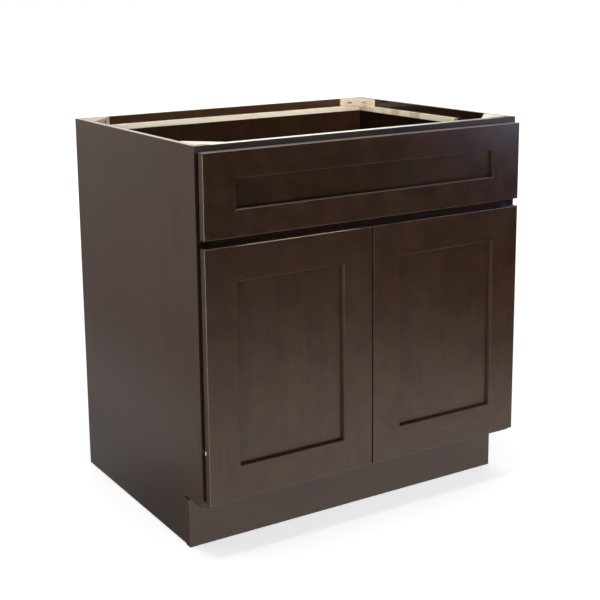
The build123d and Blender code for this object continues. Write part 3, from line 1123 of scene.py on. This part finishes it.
@dataclass(frozen=True)
class Hardware:
    """Hinges, brackets, screws and bumpers."""

    nickel: PlatedSteel = PlatedSteel()
    zinc: PlatedSteel = PlatedSteel((0.66, 0.62, 0.52), (0.42, 0.38, 0.30), 0.28, 0.45)
    phosphate: PlatedSteel = PlatedSteel((0.16, 0.13, 0.09), (0.09, 0.07, 0.05), 0.40, 0.55)
    plastic: CloudyPlastic = CloudyPlastic()
    screws: Screws = Screws()
    bumpers: Bumpers = Bumpers()
    block_screw_inset: float = 17.6 * MM
    block_screw_depth: float = 12.0 * MM
    screw_length: float = 9.0 * MM
    ear_radius: float = 6.0 * MM
    bracket_thickness: float = 1.6 * MM
    bracket_screw_inset: float = 12.0 * MM
    plate_screw_spacing: float = 22.0 * MM
    ease: float = 0.15 * MM

    def build(self) -> None:
        """Plate the hinges and brackets, then make the screws and bumpers."""
        nickel = self.nickel.material("bright_nickel")
        zinc = self.zinc.material("yellow_zinc")
        dark = self.phosphate.material("dark_phosphate")
        plastic = self.plastic.material("cloudy_plastic")
        for side in Side:
            for part in ("lower_hinge_cup", "lower_hinge_arm", "upper_hinge_cup", "upper_hinge_arm"):
                dress(f"{side.label}_{part}", nickel, self.ease)
            dress(f"{side.label}_hinge_pins", nickel, self.ease)
        dress("false_front_brackets", zinc, self.ease)
        block_length = self.block_screw_depth + self.screw_length
        self.screws.build("corner_block_screws", self.block_seats(), block_length, dark)
        self.screws.build("hinge_arm_screws", self.arm_seats(), self.screw_length, zinc)
        self.screws.build("false_front_bracket_screws", self.bracket_seats(), self.screw_length, zinc)
        self.bumpers.build("false_front_bumpers", "case", plastic)
        for side in Side:
            cups = self.cup_seats(side)
            self.screws.build(f"{side.label}_hinge_cup_screws", cups, self.screw_length, zinc)
            self.bumpers.build(f"{side.label}_door_bumpers", f"{side.label}_door", plastic)

    def block_seats(self) -> list[Seat]:
        """Two seats in each corner block.

        Returns:
            One seat towards the side and one towards the front or back, block by block.
        """
        seats = []
        for end, inward in (("front", 1), ("back", -1)):
            for side in Side:
                box = Box.of(f"{end}_{side.label}_corner_block")
                near_x = box.centre.x + side.value * (box.half.x - self.block_screw_depth)
                near_y = box.centre.y - inward * (box.half.y - self.block_screw_depth)
                off_x = box.centre.x - side.value * (box.half.x - self.block_screw_inset)
                off_y = box.centre.y + inward * (box.half.y - self.block_screw_inset)
                seats.append(Seat((near_x, off_y, box.centre.z), (-side.value, 0, 0)))
                seats.append(Seat((off_x, near_y, box.centre.z), (0, inward, 0)))
        return seats

    def arm_seats(self) -> list[Seat]:
        """Two seats on the plate of each hinge arm.

        Returns:
            The seats, arm by arm.
        """
        seats = []
        for side in Side:
            depth = Box.of(f"{side.label}_frame_stile").centre.y
            for level in ("lower", "upper"):
                box = Box.of(f"{side.label}_{level}_hinge_arm")
                plate_x = box.centre.x - side.value * box.half.x
                for step in (-1, 1):
                    height = box.centre.z + step * self.plate_screw_spacing / 2
                    seats.append(Seat((plate_x, depth, height), (-side.value, 0, 0)))
        return seats

    def cup_seats(self, side: Side) -> list[Seat]:
        """One seat on each ear of a door's hinge cups.

        Args:
            side: the door's side.

        Returns:
            The seats, cup by cup.
        """
        across = Box.of(f"{side.label}_hinge_cup_screws").centre.x
        seats = []
        for level in ("lower", "upper"):
            box = Box.of(f"{side.label}_{level}_hinge_cup")
            for height in (box.low.z + self.ear_radius, box.high.z - self.ear_radius):
                seats.append(Seat((across, box.high.y, height), (0, 1, 0), f"{side.label}_door"))
        return seats

    def bracket_seats(self) -> list[Seat]:
        """Two seats on each leg of the false front's brackets.

        Returns:
            The seats, bracket by bracket.
        """
        group = Box.of("false_front_bracket_screws")
        bracket = Box.of("false_front_brackets")
        depth = Box.of("left_frame_stile").centre.y
        radius = self.screws.head_radius
        seats = []
        for side in Side:
            wall_x = side.value * (bracket.high.x - self.bracket_thickness)
            across = side.value * (bracket.high.x - self.bracket_screw_inset)
            for height in (group.low.z + radius, group.high.z - radius):
                seats.append(Seat((wall_x, depth, height), (-side.value, 0, 0)))
                seats.append(Seat((across, bracket.low.y + self.bracket_thickness, height), (0, 1, 0)))
        return seats


@dataclass(frozen=True)
class PhotoView:
    """The photograph's camera: angles in degrees, the focal length and the picture's middle in pixels."""

    place: Point = (-1.4909, -2.3539, 1.1935)
    azimuth: float = 30.39
    elevation: float = 11.22
    roll: float = -0.92
    focal_pixels: float = 1191.6
    centre: Range = (254.8, 216.9)
    picture: float = 600.0
    sensor: float = 36.0

    def build(self) -> None:
        """Set up the camera as the scene's own."""
        turn = Matrix.Rotation(math.radians(-self.azimuth), 4, "Z")
        drop = Matrix.Rotation(math.radians(90 - self.elevation), 4, "X")
        lean = Matrix.Rotation(math.radians(self.roll), 4, "Z")
        data = bpy.data.cameras.new("photo_view")
        data.sensor_width = self.sensor
        data.lens = self.focal_pixels / self.picture * self.sensor
        data.shift_x = (self.picture / 2 - self.centre[0]) / self.picture
        data.shift_y = (self.centre[1] - self.picture / 2) / self.picture
        camera = bpy.data.objects.new("photo_view", data)
        bpy.context.scene.collection.objects.link(camera)
        camera.matrix_world = Matrix.Translation(self.place) @ turn @ drop @ lean
        bpy.context.scene.camera = camera


@dataclass(frozen=True)
class Softbox:
    """A rectangular light, aimed at a point."""

    name: str
    place: Point
    aim: Point
    width: float
    height: float
    radiance: float
    tint: Colour = WHITE
    mirrored: bool = True
    spread: float = 180.0

    def build(self) -> None:
        """Hang the light. Its power is its radiance times pi times its area."""
        data = bpy.data.lights.new(self.name, "AREA")
        data.shape = "RECTANGLE"
        data.size = self.width
        data.size_y = self.height
        data.energy = self.radiance * math.pi * self.width * self.height
        data.color = self.tint
        data.spread = math.radians(self.spread)
        lamp = bpy.data.objects.new(self.name, data)
        bpy.context.scene.collection.objects.link(lamp)
        lamp.location = self.place
        lamp.rotation_euler = (Vector(self.aim) - Vector(self.place)).to_track_quat("-Z", "Y").to_euler()
        lamp.visible_camera = False
        lamp.visible_glossy = self.mirrored


@dataclass(frozen=True)
class FloorGlow:
    """How bright the floor is for the object: levels at distances from its foot, in metres."""

    stops: tuple[Range, ...]
    tint: Colour = WHITE
    tint_from: float = 0.25

    def build(self, bench: Bench, distance: Socket) -> Socket:
        """Brightness at a distance.

        Args:
            bench: where the nodes go.
            distance: metres from the object's foot.

        Returns:
            The floor's light, where 1 is white.
        """
        first, *between, last = self.stops
        reach = last[0]
        ramp = bench.add("ShaderNodeValToRGB", {"Fac": bench.maths("DIVIDE", distance, reach)})
        marks = ramp.color_ramp.elements
        for number, (place, level) in enumerate((first, last, *between)):
            mark = marks[number] if number < 2 else marks.new(place / reach)
            mark.position = place / reach
            tint = self.tint if place > self.tint_from else WHITE
            mark.color = (*(level * share for share in tint), 1.0)
        return ramp.outputs["Color"]


@dataclass(frozen=True)
class Studio:
    """A pale floor under soft light, in a plain dim room."""

    fill: float = 0.060
    back_fade: Range = (0.1, 0.6)
    floor_half: float = 40.0
    floor_white: float = 0.80
    lift_reach: Range = (0.8, 3.2)
    lift: Range = (0.66, 1.0)
    foot: Range = (0.419, 0.316)
    side_fall: float = 1.5
    left_edge: Range = (0.02, 0.004)
    left_front: Range = (-0.26, -0.20)
    shade_reach: Range = (0.34, 0.18)
    shade_front: Range = (0.45, -0.05)
    shade_depth: float = 0.52
    front_glow: FloorGlow = FloorGlow(
        ((0.0, 0.96), (0.16, 1.08), (0.34, 1.06), (0.66, 1.04))
        + ((1.03, 0.58), (1.36, 0.24), (1.70, 0.06), (2.30, 0.0), (4.0, 0.0)),
        (1.03, 0.92, 0.89),
    )
    left_glow: FloorGlow = FloorGlow(
        ((0.0, 0.42), (0.12, 0.38), (0.34, 0.50), (0.62, 0.12), (0.9, 0.30), (1.5, 0.36), (4.0, 0.44))
    )
    lights: tuple[Softbox, ...] = (
        Softbox(
            "inner_fill",
            (-1.25, -2.15, 1.22),
            (0.1, 0.30, 0.98),
            1.2,
            0.06,
            6.4,
            (1.0, 0.97, 0.91),
            mirrored=False,
            spread=9.6,
        ),
        Softbox("front_fill", (-0.6, -2.6, 2.2), (0.0, -0.3, 0.5), 1.6, 1.2, 0.4, mirrored=False),
        Softbox("overhead", (-0.2, -0.25, 2.1), (-0.2, -0.25, 0.0), 1.4, 0.6, 6.8),
        Softbox("low_left", (-3.0, -0.6, 0.46), (-0.42, -0.05, 0.64), 2.0, 0.75, 1.05, spread=34.0),
        Softbox("low_front", (0.05, -1.15, 0.06), (0.0, -0.32, 0.28), 1.8, 0.5, 3.3, mirrored=False),
        Softbox("cool_right", (1.31, -0.97, 0.95), (0.385, -0.24, 0.95), 0.6, 0.5, 3.8, (0.62, 0.71, 1.06)),
    )

    def build(self) -> None:
        """Light the room, lay the floor and hang the lights."""
        self.build_world()
        self.build_floor()
        for light in self.lights:
            light.build()
        bpy.context.scene.view_settings.view_transform = "Standard"

    def build_world(self) -> None:
        """White to the eye, bright behind the object and a weak fill elsewhere."""
        world = bpy.data.worlds.new("studio")
        world.use_nodes = True
        bench = Bench(world.node_tree)
        path = bench.add("ShaderNodeLightPath").outputs
        seen = bench.maths("MAXIMUM", path["Is Camera Ray"], path["Is Transmission Ray"])
        towards = bench.parts(bench.add("ShaderNodeTexCoord").outputs["Generated"])[Axis.Y.value]
        behind = bench.smooth(towards, *self.back_fade, self.fill, 1.0)
        strength = bench.maths("MAXIMUM", seen, behind)
        back = bench.add("ShaderNodeBackground", {"Color": solid(WHITE), "Strength": strength})
        bench.add("ShaderNodeOutputWorld", {"Surface": back.outputs[0]})
        bpy.context.scene.world = world

    def outside(self, bench: Bench, axis: Axis) -> Socket:
        """How far a point of the floor lies outside the object's foot along one axis."""
        away = bench.less(bench.maths("ABSOLUTE", bench.where(axis)), self.foot[axis.value])
        return bench.maths("MAXIMUM", away, 0.0)

    def glow(self, bench: Bench) -> Socket:
        """The floor's brightness for the object: one fall-off to the left of it, another all round.

        To the left it is darker close to the foot, more so towards the front.

        Args:
            bench: where the nodes go.

        Returns:
            The floor's light, where 1 is white.
        """
        out_x = self.outside(bench, Axis.X)
        out_y = self.outside(bench, Axis.Y)
        span = bench.add("ShaderNodeCombineXYZ", {0: bench.times(out_x, self.side_fall), 1: out_y})
        around = self.front_glow.build(bench, bench.vector("LENGTH", span.outputs[0]))
        near = bench.smooth(out_x, *self.shade_reach)
        front = bench.smooth(bench.where(Axis.Y), *self.shade_front, 0.0, self.shade_depth)
        shade = bench.less(1.0, bench.times(near, front))
        left = bench.shade(self.left_glow.build(bench, out_x), shade)
        edge = (inset - self.foot[0] for inset in self.left_edge)
        beside = bench.smooth(bench.where(Axis.X), *edge)
        leftward = bench.times(beside, bench.smooth(bench.where(Axis.Y), *self.left_front))
        return bench.mix(leftward, around, left)

    def paper(self) -> Material:
        """White paper that takes the object's shadow and runs out to plain white.

        Returns:
            The floor's material.
        """
        material = bpy.data.materials.new("white_paper")
        material.use_nodes = True
        material.cycles.emission_sampling = "NONE"
        bench = Bench(material.node_tree)
        sheet = bench.add("ShaderNodeBsdfDiffuse", {"Color": (self.floor_white,) * 3 + (1,)})
        lift = bench.smooth(bench.vector("LENGTH", bench.place()), *self.lift_reach, *self.lift)
        lifted = bench.add("ShaderNodeEmission", {"Strength": lift})
        seen = bench.add("ShaderNodeAddShader", {0: sheet.outputs[0], 1: lifted.outputs[0]})
        glow = bench.add("ShaderNodeEmission", {"Color": self.glow(bench)})
        eye = bench.add("ShaderNodeLightPath").outputs["Is Camera Ray"]
        both = bench.add("ShaderNodeMixShader", {0: eye, 1: glow.outputs[0], 2: seen.outputs[0]})
        bench.add("ShaderNodeOutputMaterial", {"Surface": both.outputs[0]})
        return material

    def build_floor(self) -> None:
        """Lay the floor as one wide square."""
        reach = self.floor_half
        corners = [(-reach, -reach, 0), (reach, -reach, 0), (reach, reach, 0), (-reach, reach, 0)]
        mesh = bpy.data.meshes.new("floor")
        mesh.from_pydata(corners, [], [(0, 1, 2, 3)])
        mesh.materials.append(self.paper())
        floor = bpy.data.objects.new("floor", mesh)
        bpy.context.scene.collection.objects.link(floor)


def main() -> None:
    """Load the frame, dress every piece, and set up the view and the studio."""
    logging.basicConfig(level=logging.INFO, format="%(name)s: %(message)s")
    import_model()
    Case().dress()
    FaceFrame().dress()
    Fronts().dress()
    Hardware().build()
    PhotoView().build()
    Studio().build()


if __name__ == "__main__":
    main()
